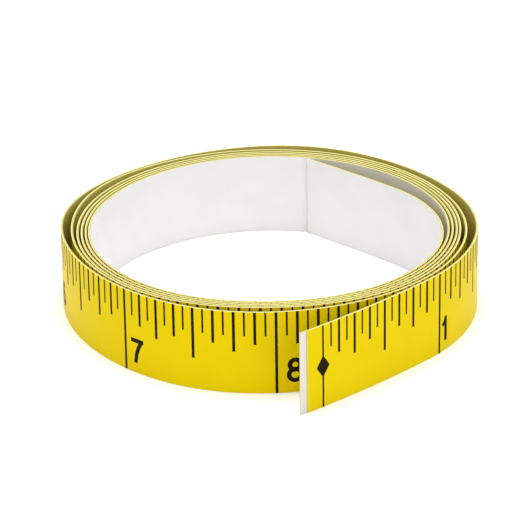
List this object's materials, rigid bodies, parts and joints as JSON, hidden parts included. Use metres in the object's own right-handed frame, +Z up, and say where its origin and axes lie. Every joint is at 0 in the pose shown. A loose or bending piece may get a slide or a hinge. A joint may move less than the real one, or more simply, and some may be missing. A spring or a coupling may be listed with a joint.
{
  "type": "adhesive tape measure",
  "caption": "Loose coil of yellow self-adhesive ruler tape in inches with a white release liner; the outer turn unrolls and the liner end peels.",
  "frame": {"origin": "on the surface the coil stands on, at the middle of the whole part in plan", "axes": "+Z up along the tape width; +X right and +Y to the back with the free end in front"},
  "size_m": [0.0658, 0.0744, 0.0133],
  "materials": {
    "yellow_film": "satin printed vinyl film, bright yellow",
    "adhesive": "clear tacky acrylic adhesive, slightly cream",
    "release_liner": "white silicone-coated release paper, low sheen",
    "black_ink": "flat black print"
  },
  "bodies": {
    "coil": {"coil_film": "yellow_film", "coil_adhesive": "adhesive", "coil_liner": "release_liner", "coil_inch_lines": "black_ink", "coil_half_inch_marks": "black_ink", "coil_quarter_inch_marks": "black_ink"},
    "segment_11": {"segment_11_film": "yellow_film", "segment_11_adhesive": "adhesive", "segment_11_liner": "release_liner", "segment_11_graduations": "black_ink"},
    "segment_10": {"segment_10_film": "yellow_film", "segment_10_adhesive": "adhesive", "segment_10_liner": "release_liner", "segment_10_graduations": "black_ink"},
    "segment_09": {"segment_09_film": "yellow_film", "segment_09_adhesive": "adhesive", "segment_09_liner": "release_liner", "segment_09_graduations": "black_ink"},
    "segment_08": {"segment_08_film": "yellow_film", "segment_08_adhesive": "adhesive", "segment_08_liner": "release_liner", "segment_08_graduations": "black_ink"},
    "segment_07": {"segment_07_film": "yellow_film", "segment_07_adhesive": "adhesive", "segment_07_liner": "release_liner", "segment_07_graduations": "black_ink"},
    "segment_06": {"segment_06_film": "yellow_film", "segment_06_adhesive": "adhesive", "segment_06_liner": "release_liner", "segment_06_graduations": "black_ink"},
    "segment_05": {"segment_05_film": "yellow_film", "segment_05_adhesive": "adhesive", "segment_05_liner": "release_liner", "segment_05_graduations": "black_ink"},
    "segment_04": {"segment_04_film": "yellow_film", "segment_04_adhesive": "adhesive", "segment_04_liner": "release_liner", "segment_04_graduations": "black_ink"},
    "segment_03": {"segment_03_film": "yellow_film", "segment_03_adhesive": "adhesive", "segment_03_liner": "release_liner", "segment_03_graduations": "black_ink"},
    "segment_02": {"segment_02_film": "yellow_film", "segment_02_adhesive": "adhesive", "segment_02_liner": "release_liner", "segment_02_graduations": "black_ink"},
    "segment_01": {"segment_01_film": "yellow_film", "segment_01_adhesive": "adhesive", "segment_01_liner": "release_liner", "segment_01_graduations": "black_ink", "zero_diamond": "black_ink"},
    "liner_end": {"liner_peel_tab": "release_liner"}
  },
  "joints": [
    {"name": "unroll", "type": "hinge", "parent": "coil", "child": "segment_11", "pos_m": [0.00626, -0.02897, 0], "axis": [0, 0, 1], "range_deg": [0, 17.86]},
    {"name": "unbend_10", "type": "hinge", "parent": "segment_11", "child": "segment_10", "pos_m": [-0.01238, -0.02735, 0], "axis": [0, 0, 1], "range_deg": [0, 37.48]},
    {"name": "unbend_09", "type": "hinge", "parent": "segment_10", "child": "segment_09", "pos_m": [-0.02646, -0.01489, 0], "axis": [0, 0, 1], "range_deg": [0, 28.27]},
    {"name": "unbend_08", "type": "hinge", "parent": "segment_09", "child": "segment_08", "pos_m": [-0.03276, 0.00288, 0], "axis": [0, 0, 1], "range_deg": [0, 35.51]},
    {"name": "unbend_07", "type": "hinge", "parent": "segment_08", "child": "segment_07", "pos_m": [-0.02783, 0.02088, 0], "axis": [0, 0, 1], "range_deg": [0, 33.22]},
    {"name": "unbend_06", "type": "hinge", "parent": "segment_07", "child": "segment_06", "pos_m": [-0.01365, 0.03331, 0], "axis": [0, 0, 1], "range_deg": [0, 29.31]},
    {"name": "unbend_05", "type": "hinge", "parent": "segment_06", "child": "segment_05", "pos_m": [0.00475, 0.03694, 0], "axis": [0, 0, 1], "range_deg": [0, 40.69]},
    {"name": "unbend_04", "type": "hinge", "parent": "segment_05", "child": "segment_04", "pos_m": [0.02133, 0.02823, 0], "axis": [0, 0, 1], "range_deg": [0, 28.57]},
    {"name": "unbend_03", "type": "hinge", "parent": "segment_04", "child": "segment_03", "pos_m": [0.03144, 0.0123, 0], "axis": [0, 0, 1], "range_deg": [0, 33.36]},
    {"name": "unbend_02", "type": "hinge", "parent": "segment_03", "child": "segment_02", "pos_m": [0.0313, -0.00644, 0], "axis": [0, 0, 1], "range_deg": [0, 33.52]},
    {"name": "unbend_01", "type": "hinge", "parent": "segment_02", "child": "segment_01", "pos_m": [0.02092, -0.02217, 0], "axis": [0, 0, 1], "range_deg": [0, 13.62]},
    {"name": "liner_peel", "type": "hinge", "parent": "segment_01", "child": "liner_end", "pos_m": [0.01113, -0.03109, 0], "axis": [0, 0, -1], "range_deg": [0, 40]}
  ],
  "couplings": [
    {"joint": "unbend_10", "follows": "unroll", "ratio": 2.0959},
    {"joint": "unbend_09", "follows": "unroll", "ratio": 1.5798},
    {"joint": "unbend_08", "follows": "unroll", "ratio": 1.9856},
    {"joint": "unbend_07", "follows": "unroll", "ratio": 1.8572},
    {"joint": "unbend_06", "follows": "unroll", "ratio": 1.6383},
    {"joint": "unbend_05", "follows": "unroll", "ratio": 2.2752},
    {"joint": "unbend_04", "follows": "unroll", "ratio": 1.5968},
    {"joint": "unbend_03", "follows": "unroll", "ratio": 1.8649},
    {"joint": "unbend_02", "follows": "unroll", "ratio": 1.8742},
    {"joint": "unbend_01", "follows": "unroll", "ratio": 0.7599}
  ]
}
